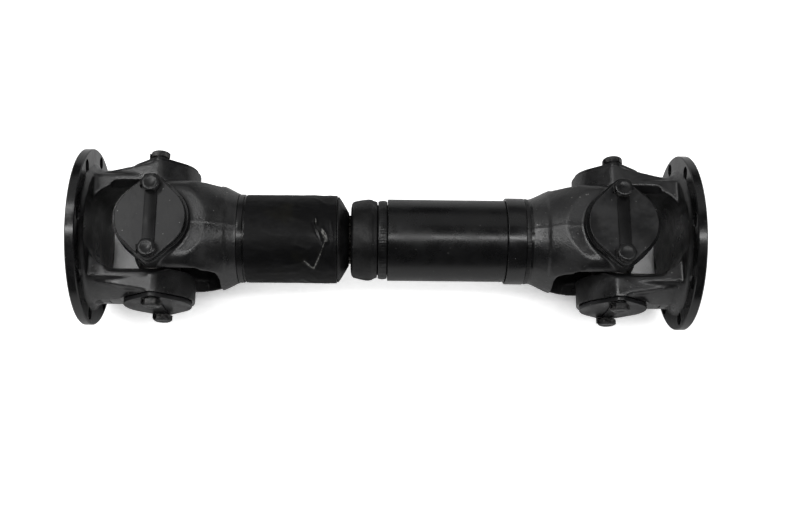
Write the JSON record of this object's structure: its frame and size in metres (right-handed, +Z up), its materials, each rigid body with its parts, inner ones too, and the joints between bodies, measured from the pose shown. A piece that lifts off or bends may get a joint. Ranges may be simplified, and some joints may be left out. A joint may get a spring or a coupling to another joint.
{
  "type": "universal joint shaft",
  "caption": "Short flanged cardan shaft: two universal joints with crosses in plate-held bearing cups, a splined slip joint and a tube, black painted.",
  "frame": {"origin": "on the shaft's axis, halfway between the two flange faces, with the slip joint closed and both joints straight", "axes": "+X along the shaft from the slip yoke end to the tube yoke end, +Z up: the shaft's own yokes carry their crosses on +Z and -Z, the flange yokes on +Y and -Y"},
  "size_m": [0.616, 0.1792, 0.1792],
  "materials": {
    "painted_forging": "satin black paint over a forged skin",
    "painted_collar": "satin black paint over turned steel",
    "painted_tube": "glossy black paint over smooth tube",
    "painted_cover": "satin black paint over pressed plate",
    "painted_lock_plate": "satin black paint over thin sheet",
    "painted_bolt": "satin black paint over a hex bolt, worn at its corners",
    "bearing_steel": "ground bearing steel",
    "machined_steel": "machined and hardened steel, oiled",
    "nipple_zinc": "zinc-plated steel",
    "black_film": "glossy black protective film, creased",
    "felt": "oiled dark felt"
  },
  "bodies": {
    "shaft_body": {"shaft_tube": "painted_tube", "tube_collar": "painted_tube", "tube_yoke": "painted_forging", "splined_shaft": "painted_collar", "spline_weld_ring": "painted_tube", "tube_upper_bearing_cup": "bearing_steel", "tube_upper_bearing_cover": "painted_cover", "tube_upper_lock_plate": "painted_lock_plate", "tube_upper_bolt_1": "painted_bolt", "tube_upper_bolt_2": "painted_bolt", "tube_lower_bearing_cup": "bearing_steel", "tube_lower_bearing_cover": "painted_cover", "tube_lower_lock_plate": "painted_lock_plate", "tube_lower_bolt_1": "painted_bolt", "tube_lower_bolt_2": "painted_bolt"},
    "slip_body": {"slip_yoke": "painted_forging", "spline_sleeve": "painted_tube", "protective_film": "black_film", "gland_nut": "painted_collar", "felt_seal": "felt", "welch_plug": "bearing_steel", "slip_upper_bearing_cup": "bearing_steel", "slip_upper_bearing_cover": "painted_cover", "slip_upper_lock_plate": "painted_lock_plate", "slip_upper_bolt_1": "painted_bolt", "slip_upper_bolt_2": "painted_bolt", "slip_lower_bearing_cup": "bearing_steel", "slip_lower_bearing_cover": "painted_cover", "slip_lower_lock_plate": "painted_lock_plate", "slip_lower_bolt_1": "painted_bolt", "slip_lower_bolt_2": "painted_bolt"},
    "left_cross_body": {"left_cross": "machined_steel", "left_grease_nipple": "nipple_zinc"},
    "right_cross_body": {"right_cross": "machined_steel", "right_grease_nipple": "nipple_zinc"},
    "left_flange_body": {"left_flange_yoke": "painted_forging", "left_flange_rear_bearing_cup": "bearing_steel", "left_flange_rear_bearing_cover": "painted_cover", "left_flange_rear_lock_plate": "painted_lock_plate", "left_flange_rear_bolt_1": "painted_bolt", "left_flange_rear_bolt_2": "painted_bolt", "left_flange_front_bearing_cup": "bearing_steel", "left_flange_front_bearing_cover": "painted_cover", "left_flange_front_lock_plate": "painted_lock_plate", "left_flange_front_bolt_1": "painted_bolt", "left_flange_front_bolt_2": "painted_bolt"},
    "right_flange_body": {"right_flange_yoke": "painted_forging", "right_flange_rear_bearing_cup": "bearing_steel", "right_flange_rear_bearing_cover": "painted_cover", "right_flange_rear_lock_plate": "painted_lock_plate", "right_flange_rear_bolt_1": "painted_bolt", "right_flange_rear_bolt_2": "painted_bolt", "right_flange_front_bearing_cup": "bearing_steel", "right_flange_front_bearing_cover": "painted_cover", "right_flange_front_lock_plate": "painted_lock_plate", "right_flange_front_bolt_1": "painted_bolt", "right_flange_front_bolt_2": "painted_bolt"}
  },
  "joints": [
    {"name": "slip", "type": "slide", "parent": "shaft_body", "child": "slip_body", "axis": [-1, 0, 0], "range_m": [0, 0.055]},
    {"name": "right_cross_swing", "type": "hinge", "parent": "shaft_body", "child": "right_cross_body", "pos_m": [0.231, 0, 0], "axis": [0, 0, 1], "range_deg": [-20, 20]},
    {"name": "right_flange_swing", "type": "hinge", "parent": "right_cross_body", "child": "right_flange_body", "pos_m": [0.231, 0, 0], "axis": [0, 1, 0], "range_deg": [-20, 20]},
    {"name": "left_cross_swing", "type": "hinge", "parent": "slip_body", "child": "left_cross_body", "pos_m": [-0.231, 0, 0], "axis": [0, 0, 1], "range_deg": [-20, 20]},
    {"name": "left_flange_swing", "type": "hinge", "parent": "left_cross_body", "child": "left_flange_body", "pos_m": [-0.231, 0, 0], "axis": [0, 1, 0], "range_deg": [-20, 20]}
  ]
}
